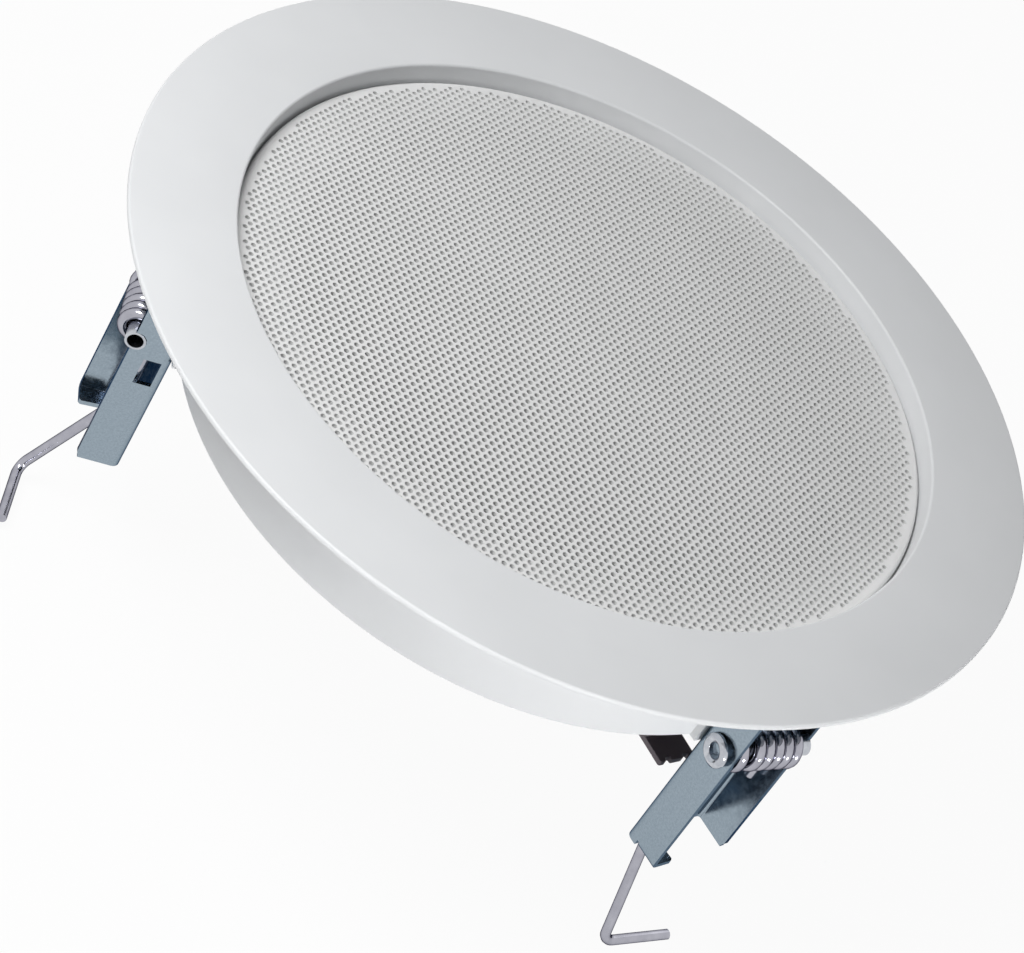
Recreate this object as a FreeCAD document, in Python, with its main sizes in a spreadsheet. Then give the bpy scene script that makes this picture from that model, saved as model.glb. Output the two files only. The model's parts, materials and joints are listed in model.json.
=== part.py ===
import FreeCAD, Part
import Sketcher
import math
import os

# Flush-mount ceiling loudspeaker: a moulded front frame with a sheet grille, a cone driver
# behind it and three sprung clips that swing out to hold the frame against a ceiling board.
# The origin lies on the axis, in the plane of the flange's ceiling face. The front looks up +Z.

doc = FreeCAD.newDocument("flush_mount_speaker")

# Driving dimensions, in millimetres and degrees
drivingSizes = {
    # front frame
    "recess_radius": 87.5,
    "flange_width": 25.3,
    "flange_thickness": 1.6,
    "rim_fall": 0.2,
    "rim_chamfer": 0.5,
    "lip_chamfer": 0.7,
    "land_width": 9.0,
    "land_step": 0.5,
    "recess_wall": 1.7,
    "skirt_draft": 0.8,
    "skirt_wall": 2.4,
    "skirt_depth": 34.5,
    "ledge_width": 13.0,
    "ledge_front_depth": 6.3,
    "ledge_thickness": 3.0,
    # grille
    "grille_gap": 0.5,
    "grille_rise": 3.0,
    "grille_sheet": 0.8,
    "grille_edge_chamfer": 0.9,
    "hole_pitch": 18.0,
    "hole_across": 9.0,
    "hole_border": 6.0,
    "hole_row_angle": 20.0,
    # driver
    "gasket_thickness": 1.0,
    "gasket_inset": 1.0,
    "basket_clearance": 3.0,
    "basket_sheet": 1.2,
    "mouth_setback": 1.0,
    "pan_radius": 33.0,
    "pan_drop": 8.0,
    "shelf_width": 7.0,
    "shelf_drop": 25.7,
    "window_inner_margin": 4.0,
    "window_outer_margin": 5.0,
    "window_angle": 62.0,
    "surround_gap": 1.0,
    "surround_lip": 5.0,
    "surround_thickness": 0.6,
    "roll_width": 8.5,
    "roll_height": 3.0,
    "cone_rim": 3.5,
    "cone_thickness": 0.7,
    "neck_rise": 3.0,
    "cap_radius": 19.0,
    "cap_height": 6.5,
    "cap_thickness": 0.6,
    "pole_radius": 12.0,
    "pole_gap": 0.6,
    "former_wall": 0.4,
    "coil_overhang": 1.8,
    "winding_thickness": 0.6,
    "winding_length": 6.0,
    "coil_gap": 0.4,
    "spider_thickness": 0.6,
    "spider_wave": 1.4,
    "glue_gap": 0.05,
    "plate_thickness": 5.0,
    "plate_margin": 3.0,
    "magnet_thickness": 14.0,
    "magnet_margin": 4.0,
    "magnet_hole_margin": 3.0,
    # driver screws and terminals
    "screw_radius": 1.45,
    "screw_head_radius": 3.2,
    "screw_head_height": 2.0,
    "screw_end_gap": 0.7,
    "fit_clearance": 0.05,
    "strip_length": 12.0,
    "strip_width": 8.0,
    "strip_thickness": 1.6,
    "tag_length": 6.0,
    "tag_width": 3.0,
    "tag_sheet": 0.6,
    "lug_reach": 14.0,
    "lug_front_depth": 28.0,
    "lug_thickness": 3.0,
    "block_angle": 327.4,
    "block_width": 10.4,
    "block_height": 20.6,
    "block_upright": 5.5,
    "block_depth": 12.7,
    "block_foot": 1.6,
    "block_notch_width": 1.6,
    "block_notch_depth": 0.9,
    # spring clips
    "seat_rise": 1.0,
    "seat_margin": 0.5,
    "bracket_sheet": 1.2,
    "bracket_width": 23.5,
    "bracket_wall": 10.6,
    "bracket_bend": 2.0,
    "bracket_front_gap": 1.5,
    "bracket_length": 67.6,
    "catch_reach": 6.2,
    "catch_bend": 1.6,
    "catch_relief": 0.8,
    "slot_drop": 4.5,
    "slot_height": 7.5,
    "slot_width": 4.2,
    "slot_margin": 0.5,
    "pivot_offset": 6.65,
    "pivot_depth": 30.2,
    "spring_skew": 10.0,
    "pin_radius": 2.45,
    "pin_bore_radius": 1.9,
    "pin_flare_radius": 4.0,
    "pin_flare_height": 1.4,
    "wire_radius": 1.3,
    "coil_mean_radius": 3.9,
    "running_gap": 0.3,
    "fixed_leg_length": 16.0,
    "arm_length": 31.3,
    "arm_bend": 5.0,
    "hook_length": 18.8,
    "hook_bend": 3.0,
    "arm_lean_back": 20.0,
    "arm_lean_left": 24.6,
    "arm_lean_right": 15.0,
    "rivet_radius": 1.6,
    "rivet_head_radius": 2.6,
    "rivet_head_height": 0.8,
    "rivet_front_depth": 16.0,
    "rivet_spacing": 9.0,
}

sheet = doc.addObject("Spreadsheet::Sheet", "sizes")
for row, (alias, size) in enumerate(drivingSizes.items(), 1):
    sheet.set("A%d" % row, alias)
    sheet.set("B%d" % row, str(size))
    sheet.setAlias("B%d" % row, alias)
doc.recompute()

# Three clips stand evenly round the skirt, each with its own bend of the arm
clipAngles = {"back": 90.0, "left": 210.0, "right": 330.0}
screwAngles = (0.0, 90.0, 180.0, 270.0)
windowCount = 4
stripAngle = 45.0
# most degrees that the spring wire turns at one mitre, and the sweep's kind of corner
mitreTurn = 30.0
mitredCorners = 1

zAxis = FreeCAD.Vector(0, 0, 1)
alongX = FreeCAD.Rotation(FreeCAD.Vector(0, 1, 0), 90)
alongY = FreeCAD.Rotation(FreeCAD.Vector(1, 0, 0), -90)
nodes = {}


def value(expression):
    return float(sheet.evalExpression(expression))


def ref(alias):
    return "sizes." + alias


def aboutAxis(angle):
    return FreeCAD.Placement(FreeCAD.Vector(), FreeCAD.Rotation(zAxis, angle))


def bind(target, expressions):
    for name, expression in expressions.items():
        target.setExpression(name, expression)


def keep(node, target):
    target.Label = node
    nodes[node] = target
    return target


def openSketch(body, name, role, offset=None):
    plane = [feature for feature in body.Origin.OriginFeatures if feature.Role == role][0]
    sketch = body.newObject("Sketcher::SketchObject", name)
    sketch.AttachmentSupport = (plane, [""])
    sketch.MapMode = "FlatFace"
    if offset:
        sketch.setExpression("AttachmentOffset.Base.z", offset)
    return sketch


def arcThrough(start, end, radius, turn):
    # the shorter arc from start to end, turning left for 1 and right for -1
    chord = end - start
    half = chord.Length / 2
    across = FreeCAD.Vector(-chord.y, chord.x, 0)
    across.normalize()
    centre = (start + end) * 0.5 + across * (turn * math.sqrt(radius ** 2 - half ** 2))
    first, last = (start, end) if turn > 0 else (end, start)
    startAngle = math.atan2(first.y - centre.y, first.x - centre.x)
    endAngle = math.atan2(last.y - centre.y, last.x - centre.x)
    return Part.ArcOfCircle(Part.Circle(centre, zAxis, radius), startAngle, endAngle)


def closeOutline(sketch, corners):
    # a corner is x, y, or x, y, radius, turn where an arc leads to it from the corner before
    points = [FreeCAD.Vector(value(corner[0]), value(corner[1]), 0) for corner in corners]
    ends = []
    for index, corner in enumerate(corners):
        start = points[index - 1]
        if len(corner) == 4:
            arc = arcThrough(start, points[index], value(corner[2]), corner[3])
            segment = sketch.addGeometry(arc)
            radius = sketch.addConstraint(Sketcher.Constraint("Radius", segment, value(corner[2])))
            sketch.setExpression("Constraints[%d]" % radius, corner[2])
            ends.append((segment, 1, 2) if corner[3] > 0 else (segment, 2, 1))
        else:
            segment = sketch.addGeometry(Part.LineSegment(start, points[index]))
            ends.append((segment, 1, 2))
    for index, corner in enumerate(corners):
        segment, startEnd, farEnd = ends[index]
        following = ends[(index + 1) % len(corners)]
        sketch.addConstraint(Sketcher.Constraint("Coincident", segment, farEnd, following[0], following[1]))
        for kind, place, expression in zip(("DistanceX", "DistanceY"), points[index], corner):
            constraint = Sketcher.Constraint(kind, -1, 1, segment, farEnd, place)
            sketch.setExpression("Constraints[%d]" % sketch.addConstraint(constraint), expression)


def turnedBody(name, corners):
    body = doc.addObject("PartDesign::Body", name)
    sketch = openSketch(body, name + "_section", "XZ_Plane")
    closeOutline(sketch, corners)
    turned = body.newObject("PartDesign::Revolution", name + "_turned")
    turned.Profile = sketch
    turned.ReferenceAxis = (sketch, ["V_Axis"])
    turned.Angle = 360
    return body


def paddedBody(name, role, corners, length, offset=None, backwards=False):
    body = doc.addObject("PartDesign::Body", name)
    sketch = openSketch(body, name + "_outline", role, offset)
    closeOutline(sketch, corners)
    pad = body.newObject("PartDesign::Pad", name + "_pad")
    pad.Profile = sketch
    pad.Reversed = backwards
    pad.setExpression("Length", length)
    return body


def rectangle(left, low, right, high):
    return [(left, low), (right, low), (right, high), (left, high)]


def ring(name, inner, outer, low, high):
    return turnedBody(name, rectangle(inner, low, outer, high))


def rod(name, radius, length, place, rotation=None):
    cylinder = doc.addObject("Part::Cylinder", name)
    if rotation:
        cylinder.Placement = FreeCAD.Placement(FreeCAD.Vector(), rotation)
    bind(cylinder, {"Radius": radius, "Height": length})
    bind(cylinder, dict(zip(("Placement.Base.x", "Placement.Base.y", "Placement.Base.z"), place)))
    return cylinder


def block(name, low, size):
    box = doc.addObject("Part::Box", name)
    bind(box, dict(zip(("Placement.Base.x", "Placement.Base.y", "Placement.Base.z"), low)))
    bind(box, dict(zip(("Length", "Width", "Height"), size)))
    return box


def group(name, members, placement=None):
    compound = doc.addObject("Part::Compound", name)
    compound.Links = members
    if placement:
        compound.Placement = placement
    return compound


def fuse(name, members):
    joined = doc.addObject("Part::MultiFuse", name)
    joined.Shapes = members
    return joined


def cut(name, base, tool):
    result = doc.addObject("Part::Cut", name)
    result.Base = base
    result.Tool = tool
    return result


# Radii of the front frame, from the recess outwards and then inwards
flangeRadius = "(sizes.recess_radius + sizes.flange_width)"
landInner = "(%s - sizes.land_width)" % flangeRadius
skirtTop = "(sizes.recess_radius + sizes.recess_wall)"
skirtOuter = "(%s - sizes.skirt_draft)" % skirtTop
skirtInner = "(%s - sizes.skirt_wall)" % skirtOuter
ledgeInner = "(%s - sizes.ledge_width)" % skirtInner
skirtMiddle = "(%s + sizes.skirt_wall / 2)" % skirtInner
lugInner = "(%s - sizes.lug_reach)" % skirtInner

# Radii of the driver, inwards from the skirt and outwards from the pole
basketRadius = "(%s - sizes.basket_clearance)" % skirtInner
gasketInner = "(%s + sizes.gasket_inset)" % ledgeInner
screwCircle = "((%s + %s) / 2)" % (gasketInner, basketRadius)
surroundOuter = "(%s - sizes.surround_gap)" % ledgeInner
rollOuter = "(%s - sizes.surround_lip)" % surroundOuter
rollInner = "(%s - sizes.roll_width)" % rollOuter
coneRim = "(%s - sizes.cone_rim)" % rollInner
mouthRadius = "(%s - sizes.mouth_setback)" % rollOuter
shelfRadius = "(sizes.pan_radius + sizes.shelf_width)"
formerInner = "(sizes.pole_radius + sizes.pole_gap)"
formerOuter = "(%s + sizes.former_wall)" % formerInner
gapRadius = "(%s + sizes.winding_thickness + sizes.coil_gap)" % formerOuter
magnetInner = "(%s + sizes.magnet_hole_margin)" % gapRadius
plateRadius = "(sizes.pan_radius + sizes.plate_margin)"
magnetRadius = "(%s + sizes.magnet_margin)" % plateRadius
neckRadius = "(%s + sizes.glue_gap)" % formerOuter

# Levels along the axis
flangeFront = "sizes.flange_thickness"
rimFront = "(sizes.flange_thickness - sizes.rim_fall)"
ledgeFront = "(-sizes.ledge_front_depth)"
ledgeBack = "(%s - sizes.ledge_thickness)" % ledgeFront
skirtEnd = "(-sizes.skirt_depth)"
basketFront = "(%s - sizes.gasket_thickness)" % ledgeBack
basketBack = "(%s - sizes.basket_sheet)" % basketFront
shelfLevel = "(%s - sizes.shelf_drop)" % basketFront
neckLevel = "(%s + sizes.neck_rise)" % shelfLevel
panLevel = "(%s - sizes.pan_drop)" % shelfLevel
panBack = "(%s - sizes.basket_sheet)" % panLevel
plateBack = "(%s - sizes.plate_thickness)" % panBack
magnetBack = "(%s - sizes.magnet_thickness)" % plateBack
yokeBack = "(%s - sizes.plate_thickness)" % magnetBack
lugFront = "(-sizes.lug_front_depth)"
lugBack = "(%s - sizes.lug_thickness)" % lugFront
blockLow = "(%s - sizes.block_height)" % lugBack
bracketEnd = "(-sizes.bracket_front_gap - sizes.bracket_length)"
pivotLevel = "(-sizes.pivot_depth)"
rivetLevels = ("-sizes.rivet_front_depth", "-sizes.rivet_front_depth - sizes.rivet_spacing")

# Places in a clip, outwards from its seat and to each side of its middle
seatRadius = "(%s + sizes.seat_rise)" % skirtOuter
webFace = "(%s + sizes.bracket_sheet)" % seatRadius
wallEdge = "(%s + sizes.bracket_wall)" % seatRadius
pivotRadius = "(%s + sizes.pivot_offset)" % seatRadius
legRadius = "(%s - sizes.coil_mean_radius)" % pivotRadius
catchInner = "(%s + sizes.wire_radius + sizes.running_gap)" % legRadius
halfBracket = "(sizes.bracket_width / 2)"
channelHalf = "(%s - sizes.bracket_sheet)" % halfBracket
# turns of the spring wire, a little wider than the wire that leaves them
wireHalf = "(sizes.wire_radius + sizes.fit_clearance)"
coilOuter = "(sizes.coil_mean_radius + %s)" % wireHalf
# the spring lies skewed in its channel, so its ends stand clear of the walls by their lean
endLean = "(%s * sin(sizes.spring_skew))" % coilOuter
eyeMiddle = "(-%s + sizes.running_gap + %s + %s)" % (channelHalf, endLean, wireHalf)
coilStart = "(%s + %s + sizes.running_gap)" % (eyeMiddle, wireHalf)
coilEnd = "(%s - sizes.running_gap - %s)" % (channelHalf, endLean)

# Holes
screwHole = "(sizes.screw_radius + sizes.fit_clearance)"
pinHole = "(sizes.pin_radius + sizes.fit_clearance)"
rivetHole = "(sizes.rivet_radius + sizes.fit_clearance)"


def springPlace(angle):
    # turned about the upright through the middle of the arm's eye
    eye = FreeCAD.Vector(value(pivotRadius), value(eyeMiddle), 0)
    skew = FreeCAD.Rotation(zAxis, -value(ref("spring_skew")))
    return aboutAxis(angle).multiply(FreeCAD.Placement(FreeCAD.Vector(), skew, eye))


def radialHoles(name, angle):
    # through the skirt, its pad and the bracket's web, with a sheet's thickness to spare
    start = "(%s - sizes.bracket_sheet)" % skirtInner
    length = "%s + sizes.bracket_sheet - %s" % (webFace, start)
    holes = []
    for index, level in enumerate(rivetLevels):
        holes.append(rod("%s_%d" % (name, index), rivetHole, length, (start, "0", level), alongX))
    return group(name, holes, aboutAxis(angle))


def screwPlace(angle):
    return ["%s * cos(%g)" % (screwCircle, angle), "%s * sin(%g)" % (screwCircle, angle)]


def screwHoles(name, low, high):
    holes = []
    for angle in screwAngles:
        place = screwPlace(angle) + [low]
        holes.append(rod("%s_%d" % (name, angle), screwHole, "%s - %s" % (high, low), place))
    return group(name, holes)


def makeFrontFrame():
    section = [
        (ref("recess_radius"), ledgeFront),
        (ref("recess_radius"), flangeFront + " - sizes.lip_chamfer"),
        ("sizes.recess_radius + sizes.lip_chamfer", flangeFront),
        (flangeRadius + " - sizes.rim_chamfer", rimFront),
        (flangeRadius, rimFront + " - sizes.rim_chamfer"),
        (flangeRadius, "0"),
        (landInner, "0"),
        (landInner, ref("land_step")),
        (skirtTop, ref("land_step")),
        (skirtOuter, skirtEnd),
        (skirtInner, skirtEnd),
        (skirtInner, ledgeBack),
        (ledgeInner, ledgeBack),
        (ledgeInner, ledgeFront),
    ]
    members = [turnedBody("frame_ring", section)]
    # flat pads that the clip brackets seat on
    padWidth = "(sizes.bracket_width + 2 * sizes.seat_margin)"
    for clip, angle in clipAngles.items():
        low = (skirtMiddle, "-%s / 2" % padWidth, skirtEnd)
        size = ("%s - %s" % (seatRadius, skirtMiddle), padWidth, "%s - %s" % (ledgeFront, skirtEnd))
        members.append(group("seat_" + clip, [block("seat_block_" + clip, low, size)], aboutAxis(angle)))
    # lug inside the skirt that carries the terminal block
    lugWidth = "(sizes.block_width + 2 * sizes.seat_margin)"
    low = (lugInner, "-%s / 2" % lugWidth, lugBack)
    size = ("%s - %s" % (skirtMiddle, lugInner), lugWidth, ref("lug_thickness"))
    lug = block("terminal_lug_block", low, size)
    members.append(group("terminal_lug", [lug], aboutAxis(value(ref("block_angle")))))
    holes = [radialHoles("frame_rivet_holes_" + clip, angle) for clip, angle in clipAngles.items()]
    holes.append(screwHoles("frame_screw_holes", ledgeBack, ledgeFront))
    lugHole = rod("lug_hole_rod", screwHole, ref("lug_thickness"), (blockScrew, "0", lugBack))
    holes.append(group("lug_hole", [lugHole], aboutAxis(value(ref("block_angle")))))
    keep("front_frame", cut("front_frame", fuse("frame_solid", members), fuse("frame_holes", holes)))


def makeGrille():
    radius = "(sizes.recess_radius - sizes.grille_gap)"
    top = "(%s + sizes.grille_rise)" % ledgeFront
    inner = radius + " - sizes.grille_sheet"
    pan = turnedBody("grille_pan", [
        ("0", top + " - sizes.grille_sheet"),
        (inner, top + " - sizes.grille_sheet"),
        (inner, ledgeFront),
        (radius, ledgeFront),
        (radius, top + " - sizes.grille_edge_chamfer"),
        (radius + " - sizes.grille_edge_chamfer", top),
        ("0", top),
    ])
    # a coarse stagger of six-sided openings stands for the fine round perforation
    pitch = value(ref("hole_pitch"))
    reach = value(radius + " - sizes.hole_border - sizes.hole_across / 2")
    corner = value(ref("hole_across")) / math.sqrt(3)
    low = value(top + " - 2 * sizes.grille_sheet")
    rows = int(reach / pitch) + 2
    prisms = []
    for row in range(-rows, rows + 1):
        for column in range(-rows, rows + 1):
            centre = FreeCAD.Vector((column + row / 2) * pitch, row * pitch * math.sqrt(3) / 2, low)
            if centre.x ** 2 + centre.y ** 2 > reach ** 2:
                continue
            spokes = [math.radians(60 * side + 30) for side in range(7)]
            ringPoints = [centre + FreeCAD.Vector(math.cos(a), math.sin(a), 0) * corner for a in spokes]
            face = Part.Face(Part.makePolygon(ringPoints))
            prisms.append(face.extrude(zAxis * value("3 * sizes.grille_sheet")))
    holes = doc.addObject("Part::Feature", "grille_holes")
    holes.Shape = Part.makeCompound(prisms)
    holes.Placement = aboutAxis(value(ref("hole_row_angle")))
    keep("grille", cut("grille", pan, holes))


def makeBasket():
    gasket = ring("gasket_ring", gasketInner, basketRadius, basketFront, ledgeBack)
    keep("driver_gasket", cut("driver_gasket", gasket, screwHoles("gasket_holes", basketFront, ledgeBack)))
    pressing = turnedBody("basket_pressing", [
        (basketRadius, basketFront),
        (mouthRadius, basketFront),
        (shelfRadius, shelfLevel),
        (ref("pan_radius"), shelfLevel),
        (ref("pan_radius"), panLevel),
        (magnetInner, panLevel),
        (magnetInner, panBack),
        ("sizes.pan_radius + sizes.basket_sheet", panBack),
        ("sizes.pan_radius + sizes.basket_sheet", shelfLevel + " - sizes.basket_sheet"),
        (shelfRadius + " + sizes.basket_sheet", shelfLevel + " - sizes.basket_sheet"),
        (mouthRadius + " + sizes.basket_sheet", basketBack),
        (basketRadius, basketBack),
    ])
    openings = []
    depth = "%s - %s" % (basketFront, shelfLevel)
    for index in range(windowCount):
        turn = 360 / windowCount * (index + 0.5)
        outer = rod("window_outer_%d" % index, mouthRadius + " - sizes.window_outer_margin",
                    depth, ("0", "0", shelfLevel))
        outer.setExpression("Angle", ref("window_angle"))
        inner = rod("window_inner_%d" % index, shelfRadius + " + sizes.window_inner_margin",
                    depth, ("0", "0", shelfLevel))
        sector = cut("window_%d" % index, outer, inner)
        sector.Placement = aboutAxis(turn - value(ref("window_angle")) / 2)
        openings.append(sector)
    openings.append(screwHoles("basket_holes", basketBack, basketFront))
    keep("basket", cut("basket", pressing, group("basket_openings", openings)))


def makeDiaphragm():
    lipTop = "(%s + sizes.surround_thickness)" % basketFront
    rollTop = "(%s + sizes.roll_height)" % lipTop
    rollUnder = "(%s - sizes.surround_thickness)" % rollTop
    quarter = "sizes.roll_width / 4"
    keep("surround", turnedBody("surround", [
        (coneRim, basketFront),
        (rollInner + " + sizes.surround_thickness", basketFront),
        ("%s + %s" % (rollInner, quarter), rollUnder),
        ("%s - %s" % (rollOuter, quarter), rollUnder),
        (rollOuter + " - sizes.surround_thickness", basketFront),
        (surroundOuter, basketFront),
        (surroundOuter, lipTop),
        (rollOuter, lipTop),
        ("%s - %s" % (rollOuter, quarter), rollTop),
        ("%s + %s" % (rollInner, quarter), rollTop),
        (rollInner, lipTop),
        (coneRim, lipTop),
    ]))
    keep("cone", turnedBody("cone", [
        (neckRadius, neckLevel),
        (coneRim, basketFront),
        (rollInner, basketFront),
        (rollInner, basketFront + " - sizes.cone_thickness"),
        (coneRim, basketFront + " - sizes.cone_thickness"),
        (neckRadius, neckLevel + " - sizes.cone_thickness"),
    ]))
    # the cap's edge sits on the cone
    slope = "(%s - %s) / (%s - %s)" % (basketFront, neckLevel, coneRim, neckRadius)
    capSeat = "(%s + (sizes.cap_radius - %s) * %s + sizes.glue_gap)" % (neckLevel, neckRadius, slope)
    capTop = "(%s + sizes.cap_height)" % capSeat
    crown = "sizes.cap_radius / 3"
    shoulder = "sizes.cap_radius * 2 / 3"
    shoulderLevel = "(%s - sizes.cap_height / 3)" % capTop
    keep("dust_cap", turnedBody("dust_cap", [
        ("0", capTop),
        (crown, capTop),
        (shoulder, shoulderLevel),
        (ref("cap_radius"), capSeat),
        (ref("cap_radius"), capSeat + " + sizes.cap_thickness"),
        (shoulder, shoulderLevel + " + sizes.cap_thickness"),
        (crown, capTop + " + sizes.cap_thickness"),
        ("0", capTop + " + sizes.cap_thickness"),
    ]))
    # two waves of cloth from the coil's former to the basket's shelf
    spiderTop = "(%s + sizes.spider_thickness)" % shelfLevel
    spiderEdge = "(%s - sizes.basket_sheet)" % shelfRadius
    waveIn = "(%s + (sizes.pan_radius - %s) / 3)" % (neckRadius, neckRadius)
    waveOut = "(%s + (sizes.pan_radius - %s) * 2 / 3)" % (neckRadius, neckRadius)
    keep("spider", turnedBody("spider", [
        (neckRadius, shelfLevel),
        (waveIn, shelfLevel + " + sizes.spider_wave"),
        (waveOut, shelfLevel + " - sizes.spider_wave"),
        (ref("pan_radius"), shelfLevel),
        (spiderEdge, shelfLevel),
        (spiderEdge, spiderTop),
        (ref("pan_radius"), spiderTop),
        (waveOut, spiderTop + " - sizes.spider_wave"),
        (waveIn, spiderTop + " + sizes.spider_wave"),
        (neckRadius, spiderTop),
    ]))


def makeMotor():
    formerEnd = "(%s - sizes.coil_overhang)" % plateBack
    windingLow = "(%s + sizes.winding_thickness)" % formerEnd
    windingHigh = "(%s + sizes.winding_length)" % windingLow
    windingOuter = "(%s + sizes.winding_thickness)" % formerOuter
    keep("voice_coil", turnedBody("voice_coil", [
        (formerInner, formerEnd),
        (formerOuter, formerEnd),
        (formerOuter, windingLow),
        (windingOuter, windingLow),
        (windingOuter, windingHigh),
        (formerOuter, windingHigh),
        (formerOuter, neckLevel),
        (formerInner, neckLevel),
    ]))
    keep("top_plate", ring("top_plate", gapRadius, plateRadius, plateBack, panBack))
    keep("magnet", ring("magnet", magnetInner, magnetRadius, magnetBack, plateBack))
    keep("yoke", turnedBody("yoke", [
        ("0", yokeBack),
        (plateRadius, yokeBack),
        (plateRadius, magnetBack),
        (ref("pole_radius"), magnetBack),
        (ref("pole_radius"), panBack),
        ("0", panBack),
    ]))


def makeDriverFixings():
    screws = []
    clamped = "sizes.basket_sheet + sizes.gasket_thickness + sizes.ledge_thickness"
    for angle in screwAngles:
        place = screwPlace(angle)
        headPlace = place + [basketBack + " - sizes.screw_head_height"]
        head = rod("screw_head_%d" % angle, ref("screw_head_radius"), ref("screw_head_height"), headPlace)
        shankLength = clamped + " - sizes.screw_end_gap"
        shank = rod("screw_shank_%d" % angle, ref("screw_radius"), shankLength, place + [basketBack])
        screws.append(fuse("driver_screw_%d" % angle, [head, shank]))
    keep("driver_screws", group("driver_screws", screws))

    # strip with two solder tags, behind the basket's flange
    stripLow = "(%s - sizes.strip_thickness)" % basketBack
    middle = "((%s + %s + sizes.basket_sheet) / 2)" % (basketRadius, mouthRadius)
    boardLow = (middle + " - sizes.strip_width / 2", "-sizes.strip_length / 2", stripLow)
    boardSize = (ref("strip_width"), ref("strip_length"), ref("strip_thickness"))
    members = [block("strip_board", boardLow, boardSize)]
    for side in (-1, 1):
        tagMiddle = "%d * sizes.strip_length / 4" % side
        tagLow = (middle + " - sizes.tag_sheet / 2", tagMiddle + " - sizes.tag_width / 2",
                  stripLow + " - sizes.tag_length")
        tagSize = (ref("tag_sheet"), ref("tag_width"), "sizes.tag_length + sizes.strip_thickness / 2")
        members.append(block("strip_tag_%d" % (side + 1), tagLow, tagSize))
    strip = keep("terminal_strip", fuse("terminal_strip", members))
    strip.Placement = aboutAxis(stripAngle)


# the terminal block's one screw runs up through its upright into the lug
blockScrew = "(%s + sizes.block_upright / 2)" % lugInner


def makeTerminalBlock():
    footFront = "(%s + sizes.block_foot)" % blockLow
    uprightFace = "(%s + sizes.block_upright)" % lugInner
    footEdge = "(%s + sizes.block_depth)" % lugInner
    body = paddedBody("terminal_body", "XZ_Plane", [
        (lugInner, lugBack),
        (lugInner, blockLow),
        (footEdge, blockLow),
        (footEdge, footFront),
        (uprightFace, footFront),
        (uprightFace, lugBack),
    ], ref("block_width"), "-sizes.block_width / 2")
    # a bore for the screw, and a notch in the foot's edge at each wire
    cuts = [rod("terminal_bore", screwHole, ref("block_height"), (blockScrew, "0", blockLow))]
    for side in (-1, 1):
        middle = "%d * sizes.block_width / 4" % side
        low = (footEdge + " - sizes.block_notch_depth", middle + " - sizes.block_notch_width / 2", blockLow)
        size = (ref("block_notch_depth"), ref("block_notch_width"), ref("block_foot"))
        cuts.append(block("terminal_notch_%d" % (side + 1), low, size))
    carved = cut("terminal_block", body, group("terminal_cuts", cuts))
    keep("terminal_block", carved).Placement = aboutAxis(value(ref("block_angle")))
    head = rod("terminal_screw_head", ref("screw_head_radius"), ref("screw_head_height"),
               (blockScrew, "0", blockLow + " - sizes.screw_head_height"))
    shank = rod("terminal_screw_shank", ref("screw_radius"), "sizes.block_height + sizes.lug_thickness",
                (blockScrew, "0", blockLow))
    screw = keep("terminal_screw", fuse("terminal_screw", [head, shank]))
    screw.Placement = aboutAxis(value(ref("block_angle")))


def makeBracket(clip, angle):
    # sheet channel, open outwards
    atBend = "%s + sizes.bracket_bend" % seatRadius
    innerBend = "sizes.bracket_bend - sizes.bracket_sheet"
    webHalf = "(%s - sizes.bracket_bend)" % halfBracket
    channel = paddedBody("channel_" + clip, "XY_Plane", [
        (wallEdge, "-" + halfBracket),
        (atBend, "-" + halfBracket),
        (seatRadius, "-" + webHalf, ref("bracket_bend"), -1),
        (seatRadius, webHalf),
        (atBend, halfBracket, ref("bracket_bend"), -1),
        (wallEdge, halfBracket),
        (wallEdge, channelHalf),
        (atBend, channelHalf),
        (webFace, webHalf, innerBend, 1),
        (webFace, "-" + webHalf),
        (atBend, "-" + channelHalf, innerBend, 1),
        (wallEdge, "-" + channelHalf),
    ], ref("bracket_length"), "-sizes.bracket_front_gap", True)
    # the wall's end is cut away where the catch is bent across, with a relief beside it
    reliefLow = (catchInner + " - sizes.catch_relief", "-" + halfBracket, bracketEnd)
    reliefSize = ("%s - %s + sizes.catch_relief" % (wallEdge, catchInner),
                  ref("bracket_sheet"), ref("catch_bend"))
    # a slot in the other wall beside the spring's fixed leg
    slotLow = (legRadius + " - sizes.slot_margin", channelHalf,
               pivotLevel + " - sizes.slot_drop - sizes.slot_height")
    slotSize = (ref("slot_width"), ref("bracket_sheet"), ref("slot_height"))
    # one hole for the pin goes through both walls, and opens the edge of the far one
    bore = rod("pin_bore_" + clip, pinHole, "2 * sizes.bracket_width",
               (pivotRadius, "-sizes.bracket_width", pivotLevel), alongY)
    openings = group("bracket_openings_" + clip, [
        block("catch_relief_" + clip, reliefLow, reliefSize),
        block("leg_slot_" + clip, slotLow, slotSize),
        group("pin_hole_" + clip, [bore], springPlace(0)),
        radialHoles("web_holes_" + clip, 0),
    ])
    # the catch keeps the arm from swinging out
    bendTop = bracketEnd + " + sizes.catch_bend"
    sheetTop = bracketEnd + " + sizes.bracket_sheet"
    bendEnd = "-%s + sizes.catch_bend" % halfBracket
    catchEnd = "-%s + sizes.catch_reach" % halfBracket
    catch = paddedBody("catch_" + clip, "YZ_Plane", [
        ("-" + halfBracket, bendTop),
        (bendEnd, bracketEnd, ref("catch_bend"), 1),
        (catchEnd, bracketEnd),
        (catchEnd, sheetTop),
        (bendEnd, sheetTop),
        ("-" + channelHalf, bendTop, "sizes.catch_bend - sizes.bracket_sheet", -1),
    ], "%s - %s" % (wallEdge, catchInner), catchInner)
    bracket = fuse("bracket_" + clip, [cut("open_channel_" + clip, channel, openings), catch])
    bracket.Placement = aboutAxis(angle)
    keep("clip_bracket_" + clip, bracket)


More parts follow.
